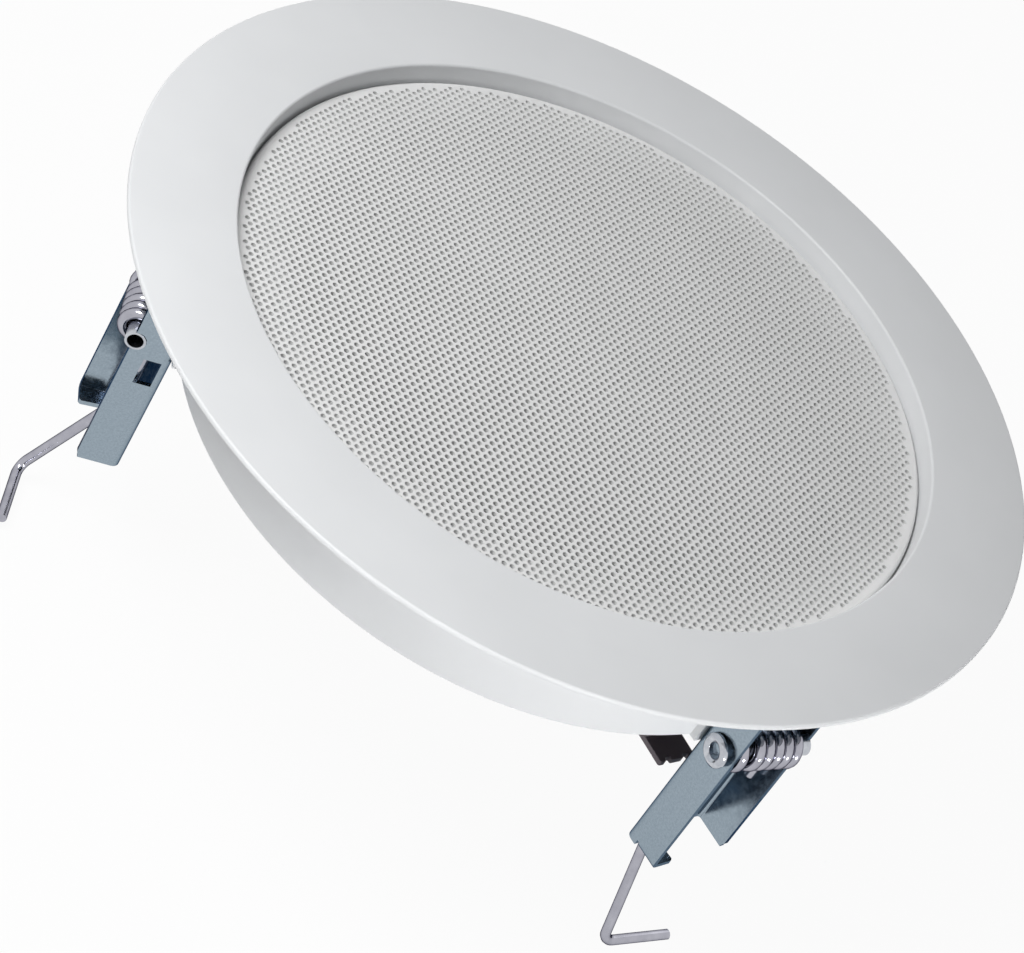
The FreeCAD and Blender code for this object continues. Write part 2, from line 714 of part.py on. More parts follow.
def makePin(clip, angle):
    # hollow, with a flared head outside the near wall and a plain end in the far one
    flare = ref("pin_flare_radius")
    skew = ref("spring_skew")
    nearWall = "((%s + %s) / cos(%s))" % (halfBracket, eyeMiddle, skew)
    farWall = "((%s - %s) / cos(%s))" % (halfBracket, eyeMiddle, skew)
    headBack = "(%s - %s - %s * tan(%s))" % (eyeMiddle, nearWall, flare, skew)
    headFront = "(%s - sizes.pin_flare_height)" % headBack
    plainEnd = "(%s + %s)" % (eyeMiddle, farWall)
    pin = turnedBody("pin_" + clip, [
        (ref("pin_bore_radius"), headFront),
        (flare, headFront),
        (flare, headBack),
        (ref("pin_radius"), headBack),
        (ref("pin_radius"), plainEnd),
        (ref("pin_bore_radius"), plainEnd),
    ])
    place = FreeCAD.Placement(FreeCAD.Vector(value(pivotRadius), 0, value(pivotLevel)), alongY)
    pin.Placement = springPlace(angle).multiply(place)
    keep("clip_pin_" + clip, pin)


def makeCoil(clip, angle):
    length = "%s - %s" % (coilEnd, coilStart)
    place = (pivotRadius, coilStart, pivotLevel)
    outside = rod("coil_outside_" + clip, coilOuter, length, place, alongY)
    legPlace = (legRadius, "%s - %s" % (coilEnd, wireHalf), pivotLevel + " - sizes.fixed_leg_length")
    leg = rod("coil_leg_" + clip, ref("wire_radius"), ref("fixed_leg_length"), legPlace)
    bore = rod("coil_bore_" + clip, pinHole, length, place, alongY)
    coil = cut("coil_" + clip, fuse("coil_solid_" + clip, [outside, leg]), bore)
    coil.Placement = springPlace(angle)
    keep("spring_coil_" + clip, coil)


def bentWire(points, bends, radius):
    # round wire whose bends are a few short mitred runs along a tangent arc
    route = [points[0]]
    for index, bend in enumerate(bends, 1):
        into = (points[index] - points[index - 1]).normalize()
        onward = (points[index + 1] - points[index]).normalize()
        turn = into.getAngle(onward)
        axis = into.cross(onward).normalize()
        bendStart = points[index] - into * (bend * math.tan(turn / 2))
        centre = bendStart + axis.cross(into) * bend
        mitres = math.ceil(math.degrees(turn) / mitreTurn)
        step = turn / mitres
        spoke = (bendStart - centre) * (1 / math.cos(step / 2))
        for mitre in range(mitres):
            swing = FreeCAD.Rotation(axis, math.degrees((mitre + 0.5) * step))
            route.append(centre + swing.multVec(spoke))
    route.append(points[-1])
    section = Part.Wire(Part.makeCircle(radius, points[0], route[1] - route[0]))
    return Part.makePolygon(route).makePipeShell([section], True, False, mitredCorners)


def makeArm(clip, angle):
    along = value(eyeMiddle)
    lean = math.radians(value("sizes.arm_lean_" + clip))
    top = FreeCAD.Vector(value(legRadius), along, value(pivotLevel))
    knee = FreeCAD.Vector(value(legRadius), along, value(bracketEnd))
    reach = FreeCAD.Vector(math.sin(lean), 0, -math.cos(lean)) * value(ref("arm_length"))
    hook = FreeCAD.Vector(0, value(ref("hook_length")), 0)
    bends = (value(ref("arm_bend")), value(ref("hook_bend")))
    wire = doc.addObject("Part::Feature", "arm_wire_" + clip)
    wire.Shape = bentWire([top, knee, knee + reach, knee + reach + hook], bends, value(ref("wire_radius")))
    place = (pivotRadius, "%s - %s" % (eyeMiddle, wireHalf), pivotLevel)
    width = "2 * " + wireHalf
    eye = rod("arm_eye_" + clip, coilOuter, width, place, alongY)
    bore = rod("arm_bore_" + clip, pinHole, width, place, alongY)
    arm = cut("arm_" + clip, fuse("arm_solid_" + clip, [wire, eye]), bore)
    arm.Placement = springPlace(angle)
    keep("clip_arm_" + clip, arm)


def makeRivets():
    tailFace = "(%s - sizes.fit_clearance)" % skirtInner
    tailEnd = tailFace + " - sizes.rivet_head_height"
    rivets = []
    for clip, angle in clipAngles.items():
        for index, level in enumerate(rivetLevels):
            name = "%s_%d" % (clip, index)
            grip = "%s - %s" % (webFace, tailFace)
            headSize = (ref("rivet_head_radius"), ref("rivet_head_height"))
            shank = rod("rivet_shank_" + name, ref("rivet_radius"), grip, (tailFace, "0", level), alongX)
            head = rod("rivet_head_" + name, *headSize, (webFace, "0", level), alongX)
            tail = rod("rivet_tail_" + name, *headSize, (tailEnd, "0", level), alongX)
            rivet = fuse("rivet_" + name, [shank, head, tail])
            rivet.Placement = aboutAxis(angle)
            rivets.append(rivet)
    keep("bracket_rivets", group("bracket_rivets", rivets))


makeFrontFrame()
makeGrille()
makeBasket()
makeDiaphragm()
makeMotor()
makeDriverFixings()
makeTerminalBlock()
for clipName, clipAngle in clipAngles.items():
    makeBracket(clipName, clipAngle)
    makePin(clipName, clipAngle)
    makeCoil(clipName, clipAngle)
    makeArm(clipName, clipAngle)
makeRivets()
doc.recompute()

for item in doc.Objects:
    if "Invalid" in item.State or "Error" in item.State:
        raise RuntimeError("%s failed to compute" % item.Name)
for node, target in nodes.items():
    if target.Shape.isNull() or not target.Shape.isValid() or not target.Shape.Solids:
        raise RuntimeError("%s has no valid solid" % node)

os.makedirs("parts", exist_ok=True)
for node, target in nodes.items():
    target.Shape.exportStep("parts/%s.step" % node)
    print(node, len(target.Shape.Solids), round(target.Shape.Volume, 1))
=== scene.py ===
import bpy
import bmesh
import json
import math
from mathutils import Matrix, Vector


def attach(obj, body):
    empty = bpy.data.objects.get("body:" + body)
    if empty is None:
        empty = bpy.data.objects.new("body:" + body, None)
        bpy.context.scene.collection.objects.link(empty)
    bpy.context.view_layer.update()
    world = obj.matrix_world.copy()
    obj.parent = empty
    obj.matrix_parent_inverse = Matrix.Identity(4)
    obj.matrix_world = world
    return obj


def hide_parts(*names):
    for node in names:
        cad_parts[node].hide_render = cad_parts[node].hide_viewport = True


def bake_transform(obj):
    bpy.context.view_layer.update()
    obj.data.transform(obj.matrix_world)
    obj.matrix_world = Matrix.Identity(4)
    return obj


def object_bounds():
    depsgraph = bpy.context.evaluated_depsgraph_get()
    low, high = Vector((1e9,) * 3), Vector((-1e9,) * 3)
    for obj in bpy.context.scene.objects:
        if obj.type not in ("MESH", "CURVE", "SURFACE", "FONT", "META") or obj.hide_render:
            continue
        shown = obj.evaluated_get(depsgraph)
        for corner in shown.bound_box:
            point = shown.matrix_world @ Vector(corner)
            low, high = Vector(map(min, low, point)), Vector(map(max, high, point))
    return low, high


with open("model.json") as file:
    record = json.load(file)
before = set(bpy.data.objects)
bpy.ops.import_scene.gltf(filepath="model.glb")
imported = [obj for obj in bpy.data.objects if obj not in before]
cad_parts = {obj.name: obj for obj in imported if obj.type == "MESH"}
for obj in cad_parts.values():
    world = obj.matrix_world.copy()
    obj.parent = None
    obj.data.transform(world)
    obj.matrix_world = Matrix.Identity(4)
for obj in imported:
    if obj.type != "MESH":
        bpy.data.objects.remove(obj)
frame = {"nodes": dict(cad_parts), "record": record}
nodes = frame["nodes"]
cadLow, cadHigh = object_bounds()
mm = 0.001                      # the pieces are drawn in millimetres
clipAngles = {"back": 90, "left": 210, "right": 330}
print("frame loaded,", len(nodes), "nodes")


# finishes
noiseLow, noiseHigh = 0.3, 0.7  # the part of a noise's range that a finish uses
mottle = 30.0                   # size of a moulding's broad spots of tone


def startFinish(name, roughness, metallic=0.0):
    finish = bpy.data.materials.new(name)
    finish.use_nodes = True
    tree = finish.node_tree
    shader = tree.nodes["Principled BSDF"]
    shader.inputs["Roughness"].default_value = roughness
    shader.inputs["Metallic"].default_value = metallic
    place = tree.nodes.new("ShaderNodeTexCoord").outputs["Object"]
    return finish, tree, shader, place


def speckle(tree, place, grain, detail=3.0, stretch=(1, 1, 1)):
    # grain is the size of a spot in millimetres, stretch draws it out along an axis
    mapping = tree.nodes.new("ShaderNodeMapping")
    mapping.inputs["Scale"].default_value = [1 / (grain * mm * part) for part in stretch]
    noise = tree.nodes.new("ShaderNodeTexNoise")
    noise.inputs["Scale"].default_value = 1.0
    noise.inputs["Detail"].default_value = detail
    tree.links.new(place, mapping.inputs["Vector"])
    tree.links.new(mapping.outputs["Vector"], noise.inputs["Vector"])
    return noise.outputs["Fac"]


def tintBy(tree, shader, spots, dark, light):
    ramp = tree.nodes.new("ShaderNodeValToRGB")
    ramp.color_ramp.elements[0].position = noiseLow
    ramp.color_ramp.elements[0].color = (*dark, 1)
    ramp.color_ramp.elements[1].position = noiseHigh
    ramp.color_ramp.elements[1].color = (*light, 1)
    tree.links.new(spots, ramp.inputs["Fac"])
    tree.links.new(ramp.outputs["Color"], shader.inputs["Base Color"])


def roughBy(tree, shader, spots, low, high):
    spread = tree.nodes.new("ShaderNodeMapRange")
    spread.inputs["From Min"].default_value = noiseLow
    spread.inputs["From Max"].default_value = noiseHigh
    spread.inputs["To Min"].default_value = low
    spread.inputs["To Max"].default_value = high
    tree.links.new(spots, spread.inputs["Value"])
    tree.links.new(spread.outputs["Result"], shader.inputs["Roughness"])


def bumpBy(tree, shader, height, depth, strength=0.5):
    bump = tree.nodes.new("ShaderNodeBump")
    bump.inputs["Strength"].default_value = strength
    bump.inputs["Distance"].default_value = depth * mm
    tree.links.new(height, bump.inputs["Height"])
    tree.links.new(bump.outputs["Normal"], shader.inputs["Normal"])


def mouldedFinish(name, dark, light, roughness, grain, depth, gloss=0.5):
    finish, tree, shader, place = startFinish(name, roughness)
    shader.inputs["Specular IOR Level"].default_value = gloss
    tintBy(tree, shader, speckle(tree, place, mottle), dark, light)
    fine = speckle(tree, place, grain)
    roughBy(tree, shader, fine, roughness - 0.05, roughness + 0.06)
    bumpBy(tree, shader, fine, depth)
    return finish


def metalFinish(name, dark, light, roughness, grain, stretch, depth, edge=(1, 1, 1)):
    # edge is the tint that the metal takes where it is seen at a low angle
    finish, tree, shader, place = startFinish(name, roughness, metallic=1.0)
    shader.inputs["Specular Tint"].default_value = (*edge, 1)
    streaks = speckle(tree, place, grain, 4.0, stretch)
    tintBy(tree, shader, streaks, dark, light)
    roughBy(tree, shader, speckle(tree, place, grain * 3), roughness - 0.06, roughness + 0.08)
    bumpBy(tree, shader, streaks, depth, 0.35)
    return finish


def clothFinish(name, dark, light, rings):
    # cloth pressed in rings about the axis
    finish, tree, shader, place = startFinish(name, 0.85)
    wave = tree.nodes.new("ShaderNodeTexWave")
    wave.wave_type = "RINGS"
    wave.rings_direction = "Z"
    wave.inputs["Scale"].default_value = 1 / (rings * mm * 2 * math.pi)
    wave.inputs["Distortion"].default_value = 0.6
    tree.links.new(place, wave.inputs["Vector"])
    tintBy(tree, shader, speckle(tree, place, 0.8), dark, light)
    bumpBy(tree, shader, wave.outputs["Fac"], 0.05)
    return finish


finishes = {
    "frame_plastic": mouldedFinish(
        "frameWhite", dark=(0.755, 0.765, 0.775), light=(0.785, 0.795, 0.805),
        roughness=0.42, grain=0.5, depth=0.012, gloss=0.3),
    "grille_paint": mouldedFinish(
        "grilleWhite", dark=(0.78, 0.78, 0.775), light=(0.81, 0.81, 0.805),
        roughness=0.55, grain=0.35, depth=0.015, gloss=0.3),
    "gasket_foam": mouldedFinish(
        "gasketFoam", dark=(0.018, 0.018, 0.018), light=(0.035, 0.035, 0.035),
        roughness=0.9, grain=0.5, depth=0.1),
    "basket_paint": mouldedFinish(
        "basketBlack", dark=(0.017, 0.017, 0.018), light=(0.028, 0.028, 0.030),
        roughness=0.42, grain=0.4, depth=0.02),
    "surround_rubber": mouldedFinish(
        "surroundRubber", dark=(0.014, 0.014, 0.014), light=(0.024, 0.024, 0.024),
        roughness=0.6, grain=0.4, depth=0.01),
    "cone_plastic": mouldedFinish(
        "coneDark", dark=(0.030, 0.027, 0.025), light=(0.055, 0.050, 0.047),
        roughness=0.65, grain=0.6, depth=0.03),
    "spider_cloth": clothFinish(
        "spiderCloth", dark=(0.30, 0.20, 0.08), light=(0.42, 0.30, 0.14), rings=1.5),
    "coil_former": metalFinish(
        "formerAluminium", dark=(0.62, 0.62, 0.62), light=(0.75, 0.75, 0.75),
        roughness=0.35, grain=0.4, stretch=(1, 1, 6), depth=0.004),
    "plated_steel": metalFinish(
        "platedSteel", dark=(0.44, 0.46, 0.50), light=(0.56, 0.58, 0.62),
        roughness=0.18, grain=2.0, stretch=(1, 1, 1), depth=0.003),
    "magnet_ferrite": mouldedFinish(
        "magnetFerrite", dark=(0.030, 0.030, 0.033), light=(0.060, 0.060, 0.064),
        roughness=0.55, grain=0.7, depth=0.03),
    "terminal_board": mouldedFinish(
        "boardBrown", dark=(0.16, 0.085, 0.04), light=(0.22, 0.13, 0.07),
        roughness=0.5, grain=0.8, depth=0.01),
    "terminal_plastic": mouldedFinish(
        "terminalDark", dark=(0.130, 0.105, 0.120), light=(0.170, 0.140, 0.160),
        roughness=0.48, grain=0.5, depth=0.02),
    "clip_zinc": metalFinish(
        "clipZinc", dark=(0.27, 0.33, 0.38), light=(0.32, 0.385, 0.44),
        roughness=0.18, grain=0.5, stretch=(1, 1, 1), depth=0.0015, edge=(0.10, 0.12, 0.18)),
    "spring_wire": metalFinish(
        "springWire", dark=(0.36, 0.36, 0.41), light=(0.44, 0.44, 0.49),
        roughness=0.10, grain=3.0, stretch=(1, 1, 1), depth=0.001, edge=(0.02, 0.02, 0.04)),
}

slotOf = {part["node"]: part["material_slot"] for part in frame["record"]["subparts"]}
for nodeName, node in nodes.items():
    node.data.materials.clear()
    node.data.materials.append(finishes[slotOf[nodeName]])
print("finishes made,", len(finishes))


# building helpers

def roundCorners(corners, steps=6):
    # a corner is x, y or x, y, radius; returns the closed outline with its corners turned
    outline = []
    for index, corner in enumerate(corners):
        here = Vector(corner[:2])
        if len(corner) == 2:
            outline.append(here)
            continue
        before = Vector(corners[index - 1][:2])
        after = Vector(corners[(index + 1) % len(corners)][:2])
        toBefore = (before - here).normalized()
        toAfter = (after - here).normalized()
        half = toBefore.angle(toAfter) / 2
        setback = corner[2] / math.tan(half)
        centre = here + (toBefore + toAfter).normalized() * (corner[2] / math.sin(half))
        start = here + toBefore * setback - centre
        turn = math.pi - 2 * half
        side = 1 if start.cross(here + toAfter * setback - centre) > 0 else -1
        for step in range(steps + 1):
            angle = side * turn * step / steps
            cosine, sine = math.cos(angle), math.sin(angle)
            turned = Vector((start.x * cosine - start.y * sine, start.x * sine + start.y * cosine))
            outline.append(centre + turned)
    return outline


def addTurned(mesh, outline, count, place=Matrix()):
    # a closed outline of radius, height turned about the local Z
    rings = []
    for index in range(count):
        angle = 2 * math.pi * index / count
        spots = [Vector((x * math.cos(angle), x * math.sin(angle), z)) for x, z in outline]
        rings.append([mesh.verts.new(place @ spot) for spot in spots])
    for index in range(count):
        here, onward = rings[index], rings[(index + 1) % count]
        for step in range(len(outline)):
            far = (step + 1) % len(outline)
            mesh.faces.new((here[step], onward[step], onward[far], here[far]))


def addBlock(mesh, low, high, place=Matrix()):
    size = Vector(high) - Vector(low)
    middle = (Vector(high) + Vector(low)) / 2
    fitted = Matrix.Translation(middle) @ Matrix.Diagonal((*size, 1))
    bmesh.ops.create_cube(mesh, size=1.0, matrix=place @ fitted)


def addPrism(mesh, outline, low, high, place=Matrix()):
    # an outline in the local XY plane, raised along Z
    floor = [mesh.verts.new(place @ Vector((x, y, low))) for x, y in outline]
    roof = [mesh.verts.new(place @ Vector((x, y, high))) for x, y in outline]
    mesh.faces.new(floor)
    mesh.faces.new(roof)
    for index in range(len(outline)):
        far = (index + 1) % len(outline)
        mesh.faces.new((floor[index], floor[far], roof[far], roof[index]))


def makePiece(name, mesh, slot, body, replaced=(), bevel=0.0, sharp=35):
    bmesh.ops.remove_doubles(mesh, verts=mesh.verts, dist=0.0005)
    bmesh.ops.recalc_face_normals(mesh, faces=mesh.faces)
    bmesh.ops.scale(mesh, vec=(mm, mm, mm), verts=mesh.verts)
    data = bpy.data.meshes.new(name)
    mesh.to_mesh(data)
    mesh.free()
    data.shade_smooth()
    data.set_sharp_from_angle(angle=math.radians(sharp))
    piece = bpy.data.objects.new(name, data)
    bpy.context.scene.collection.objects.link(piece)
    data.materials.append(finishes[slot])
    if bevel:
        edge = piece.modifiers.new("edge", "BEVEL")
        edge.width = bevel * mm
        edge.segments = 2
        edge.limit_method = "ANGLE"
        edge.angle_limit = math.radians(40)
        edge.harden_normals = True
    if body:                    # a piece that bends between two bodies rides on neither
        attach(piece, body)
    if replaced:
        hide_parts(*replaced)
    return piece


def turnAbout(angle):
    return Matrix.Rotation(math.radians(angle), 4, "Z")


# front frame: one turned moulding with seat pads for the clips and a lug for the terminal block
frontFrame = {
    "outline": [
        (73.0, -9.3, 0.4), (73.0, -6.3, 0.4), (87.5, -6.3), (87.5, 1.6, 0.7), (112.8, 1.4, 0.6),
        (112.8, 0.0, 0.4), (103.8, 0.0, 0.2), (103.8, 0.5), (89.2, 0.5, 0.4), (88.4, -34.5, 0.5),
        (86.0, -34.5, 0.5), (86.0, -9.3),
    ],
    "turns": 288,
    "pad": ((87.2, -12.25, -34.5), (89.4, 12.25, -6.3)),
    "lug": ((72.0, -5.7, -31.0), (87.2, 5.7, -28.0)),
    "lugAngle": 327.4,
}


def makeFrontFrame(sizes):
    mesh = bmesh.new()
    addTurned(mesh, roundCorners(sizes["outline"]), sizes["turns"])
    for angle in clipAngles.values():
        addBlock(mesh, *sizes["pad"], turnAbout(angle))
    addBlock(mesh, *sizes["lug"], turnAbout(sizes["lugAngle"]))
    makePiece("frontFrame", mesh, "frame_plastic", "speaker", ["front_frame"])


makeFrontFrame(frontFrame)
print("front frame made")


# grille: sheet with a fine stagger of holes, its edge rolled down into the recess
grille = {
    "radius": 87.0,
    "top": -3.3,
    "sheet": 0.8,
    "edgeRound": 1.2,
    "foot": -6.3,
    "holedRadius": 85.4,
    "pitch": 1.90,
    "hole": 0.66,
    "sides": 8,
    "holeMargin": 1.25,         # a hole keeps this many radii from the rim
    "rowAngle": 20.0,
    "rowSpare": 1.3,            # rows laid out past the rim, then left out
    "weld": 200,                # corners on the same 1/200 mm step count as one
    "rimTurns": 288,
    "rimLap": 0.4,
    "rimDrop": 0.04,
}


def fillRing(mesh, outer, inner, centre):
    # triangles between two loops round the same centre, both turning the same way
    def angleOf(vert):
        return math.atan2(vert.co.y - centre.y, vert.co.x - centre.x) % (2 * math.pi)
    outer = sorted(outer, key=angleOf)
    inner = sorted(inner, key=angleOf)
    outerAngles = [angleOf(vert) for vert in outer] + [angleOf(outer[0]) + 2 * math.pi]
    innerAngles = [angleOf(vert) for vert in inner] + [angleOf(inner[0]) + 2 * math.pi]
    i = j = 0
    while i < len(outer) or j < len(inner):
        here, there = outer[i % len(outer)], inner[j % len(inner)]
        if j >= len(inner) or (i < len(outer) and outerAngles[i + 1] <= innerAngles[j + 1]):
            i += 1
            mesh.faces.new((here, outer[i % len(outer)], there))
        else:
            j += 1
            mesh.faces.new((here, inner[j % len(inner)], there))


def makeGrille(sizes):
    pitch, hole, sides = sizes["pitch"], sizes["hole"], sizes["sides"]
    reach, top, low = sizes["holedRadius"], sizes["top"], sizes["top"] - sizes["sheet"]
    turn = math.radians(sizes["rowAngle"])
    count = int(reach / pitch * sizes["rowSpare"])
    cellRadius = pitch / math.sqrt(3)
    weld = sizes["weld"]
    halves = {-1: bmesh.new(), 1: bmesh.new()}
    corners = {-1: {}, 1: {}}
    spokes = [math.radians(60 * step + 30) + turn for step in range(6)]
    rim = [2 * math.pi * step / sides + turn for step in range(sides)]
    for row in range(-count, count + 1):
        for column in range(-count, count + 1):
            along, across = (column + row / 2) * pitch, row * pitch * math.sqrt(3) / 2
            x = along * math.cos(turn) - across * math.sin(turn)
            y = along * math.sin(turn) + across * math.cos(turn)
            cell = [(x + cellRadius * math.cos(a), y + cellRadius * math.sin(a)) for a in spokes]
            if min(math.hypot(*corner) for corner in cell) > reach:
                continue
            side = 1 if row >= 0 else -1
            mesh, shared = halves[side], corners[side]
            outer = []
            for cx, cy in cell:
                far = math.hypot(cx, cy)
                if far > reach:             # the border cells end on the rim's circle
                    cx, cy = cx * reach / far, cy * reach / far
                key = (round(cx * weld), round(cy * weld))
                if key not in shared:
                    shared[key] = mesh.verts.new((cx, cy, top))
                if shared[key] not in outer:
                    outer.append(shared[key])
            if len(outer) < 3:
                continue
            if math.hypot(x, y) + hole * sizes["holeMargin"] > reach:
                mesh.faces.new(outer)
                continue
            edge = [mesh.verts.new((x + hole * math.cos(a), y + hole * math.sin(a), top)) for a in rim]
            foot = [mesh.verts.new((x + hole * math.cos(a), y + hole * math.sin(a), low)) for a in rim]
            fillRing(mesh, outer, edge, Vector((x, y)))
            for step in range(sides):
                onward = (step + 1) % sides
                mesh.faces.new((edge[step], edge[onward], foot[onward], foot[step]))
    makePiece("grilleSheetNear", halves[-1], "grille_paint", "speaker", ["grille"], sharp=50)
    makePiece("grilleSheetFar", halves[1], "grille_paint", "speaker", ["grille"], sharp=50)
    rimMesh = bmesh.new()
    radius, sheet, lap = sizes["radius"], sizes["sheet"], reach - sizes["rimLap"]
    addTurned(rimMesh, roundCorners([
        (lap, top - sizes["rimDrop"]), (radius, top, sizes["edgeRound"]), (radius, sizes["foot"]),
        (radius - sheet, sizes["foot"]), (radius - sheet, low), (lap, low),
    ]), sizes["rimTurns"])
    makePiece("grilleRim", rimMesh, "grille_paint", "speaker", ["grille"])


makeGrille(grille)
print("grille made")


# spring clips: a folded zinc channel with a catch, a hollow pin, and a torsion spring of round wire
clip = {
    "seat": 89.4,
    "outer": 100.0,
    "half": 11.75,
    "sheet": 1.2,
    "bend": 2.0,
    "front": -1.5,
    "end": -69.1,
    "catchRoot": 93.75,
    "catchGap": 0.8,
    "catchReach": 6.2,
    "catchBend": 1.6,
    "slot": ((91.65, -42.2), (95.85, -34.7)),
    "notch": (99.43, 2.5),
    "notchColumns": (0.3, 1.1),
    "foldSteps": 6,
    "edgeCut": 0.5,
    "edgeBevel": 0.16,
    "pivot": (96.05, -30.2),
    "skew": 10.0,
    "pin": {
        "bore": 1.9, "shank": 2.45, "flare": 4.0, "head": -13.913, "shoulder": -12.513, "end": 12.054,
        "rounds": (0.3, 0.5, 0.4), "turns": 40,
    },
    "wire": 1.3,
    "coil": 3.9,
    "coilFrom": -6.338,
    "coilTo": 9.338,
    "eye": -7.988,
    "turnPitch": 2.08,          # in wire radii
    "perTurn": 28,
    "legFoot": -46.2,
    "armLength": 31.3,
    "armBend": 5.0,
    "hookLength": 18.8,
    "hookBend": 3.0,
    "lean": {"back": 20.0, "left": 24.6, "right": 15.0},
}


def makeBracket(name, sizes, place):
    # the sheet is laid out as a grid: columns round the fold, rows down its length
    seat, outer, half, sheet, bend = (sizes[k] for k in ("seat", "outer", "half", "sheet", "bend"))
    gapEnd, catchRoot = sizes["catchRoot"] - sizes["catchGap"], sizes["catchRoot"]
    outside, inside = [], []
    ease, foldSteps = sizes["edgeCut"], sizes["foldSteps"]
    slotLow, slotHigh = sizes["slot"]
    for x in (outer, outer - ease, catchRoot, gapEnd):
        outside.append((x, -half))
        inside.append((x, -half + sheet))
    for side in (-1, 1):
        centre = Vector((seat + bend, side * (half - bend)))
        steps = range(foldSteps + 1) if side < 0 else range(foldSteps, -1, -1)
        for step in steps:
            angle = math.pi / 2 * step / foldSteps
            direction = Vector((-math.sin(angle), side * math.cos(angle)))
            outside.append(tuple(centre + direction * bend))
            inside.append(tuple(centre + direction * (bend - sheet)))
    slotColumn = len(outside)
    notchMiddle, notchRadius = sizes["notch"]
    notchStart = notchMiddle - notchRadius
    notchColumn = slotColumn + 2
    notchSpots = [notchStart + further for further in (0, *sizes["notchColumns"])]
    for x in (slotLow[0], slotHigh[0], *notchSpots, outer - ease, outer):
        outside.append((x, half))
        inside.append((x, half - sheet))
    lastColumn = len(outside) - 1
    catchCentre = (-half + sizes["catchBend"], sizes["end"] + sizes["catchBend"])
    pinLevel = sizes["pivot"][1]
    levels = [sizes["front"], pinLevel, pinLevel, slotHigh[1], slotLow[1], catchCentre[1], sizes["end"]]
    notchRow, slotRow, bendRow, endRow, bendSteps = 1, 3, 5, 6, foldSteps
    catchRows = bendRow + bendSteps + 1

    def spot(column, row, inner):
        x, y = (inside if inner else outside)[column]
        if row <= bendRow or column > 2:
            z = levels[min(row, endRow)]
            if column == lastColumn and row == endRow:  # the free corner is eased
                return Vector((x - ease, y, z + ease))
            if column >= notchColumn and row in (notchRow, notchRow + 1):
                spread = math.sqrt(max(0, notchRadius ** 2 - (x - notchMiddle) ** 2))
                z += spread if row == notchRow else -spread
            return Vector((x, y, z))
        radius = sizes["catchBend"] - (sheet if inner else 0)
        if row < catchRows:
            angle = math.pi / 2 * (row - bendRow) / bendSteps
            across, down = radius * math.cos(angle), radius * math.sin(angle)
            return Vector((x, catchCentre[0] - across, catchCentre[1] - down))
        tip = -half + sizes["catchReach"] - (ease if column in (0, 2) else 0)
        return Vector((x, tip, sizes["end"] + (sheet if inner else 0)))

    filled = {(column, row) for column in range(lastColumn) for row in range(endRow)}
    filled.discard((slotColumn, slotRow))               # slot beside the fixed leg
    filled.discard((2, bendRow))                        # relief beside the catch
    filled.update((column, row) for column in (0, 1) for row in range(bendRow, catchRows))
    closed = {(column, notchRow) for column in range(notchColumn)}     # no height beside the notch
    filled -= {(column, notchRow) for column in range(lastColumn)}
    mesh = bmesh.new()
    verts = {}

    def vert(column, row, inner):
        key = (column, row, inner)
        if key not in verts:
            verts[key] = mesh.verts.new(place @ spot(*key))
        return verts[key]

    for column, row in filled:
        around = [(column, row), (column + 1, row), (column + 1, row + 1), (column, row + 1)]
        for inner in (False, True):
            mesh.faces.new([vert(*key, inner) for key in around])
        beside = [(column, row - 1), (column + 1, row), (column, row + 1), (column - 1, row)]
        for step, neighbour in enumerate(beside):
            if neighbour not in filled and neighbour not in closed:
                first, last = around[step], around[(step + 1) % 4]
                outerEdge = (vert(*first, False), vert(*last, False))
                innerEdge = (vert(*last, True), vert(*first, True))
                mesh.faces.new(outerEdge + innerEdge)
    makePiece("clipChannel_" + name, mesh, "clip_zinc", "speaker", ["clip_bracket_" + name],
              bevel=sizes["edgeBevel"])


def makePin(name, sizes, place):
    bore, shank, flare, head, shoulder, end, rounds, turns = sizes["pin"].values()
    crest, lipMiddle = (bore + flare) / 2, shoulder - (shoulder - head) / 2
    mesh = bmesh.new()
    pivotX, pivotZ = sizes["pivot"]
    across = place @ Matrix.Translation((pivotX, 0, pivotZ)) @ Matrix.Rotation(-math.pi / 2, 4, "X")
    outline = [
        (bore, end), (bore, lipMiddle, rounds[0]), (crest, head, rounds[1]), (flare, lipMiddle, rounds[2]),
        (flare, shoulder), (shank, shoulder), (shank, end),
    ]
    addTurned(mesh, roundCorners(outline, 3), turns, across)
    makePiece("clipPin_" + name, mesh, "plated_steel", "speaker", ["clip_pin_" + name])


def makeWire(name, points, radius, slot, body, replaced):
    # round wire along a line of points, closed at both ends
    curve = bpy.data.curves.new(name, "CURVE")
    curve.dimensions = "3D"
    curve.bevel_depth = radius * mm
    curve.bevel_resolution = 4
    curve.use_fill_caps = True
    line = curve.splines.new("POLY")
    line.points.add(len(points) - 1)
    for target, point in zip(line.points, points):
        target.co = (*(point * mm), 1)
    line.use_smooth = True
    holder = bpy.data.objects.new(name + "Line", curve)
    bpy.context.scene.collection.objects.link(holder)
    bpy.context.view_layer.update()
    data = bpy.data.meshes.new_from_object(holder.evaluated_get(bpy.context.evaluated_depsgraph_get()))
    bpy.data.objects.remove(holder)
    data.name = name
    data.materials.clear()
    data.materials.append(finishes[slot])
    data.shade_smooth()
    data.set_sharp_from_angle(angle=math.radians(50))
    piece = bpy.data.objects.new(name, data)
    bpy.context.scene.collection.objects.link(piece)
    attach(piece, body)
    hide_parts(replaced)
    return piece


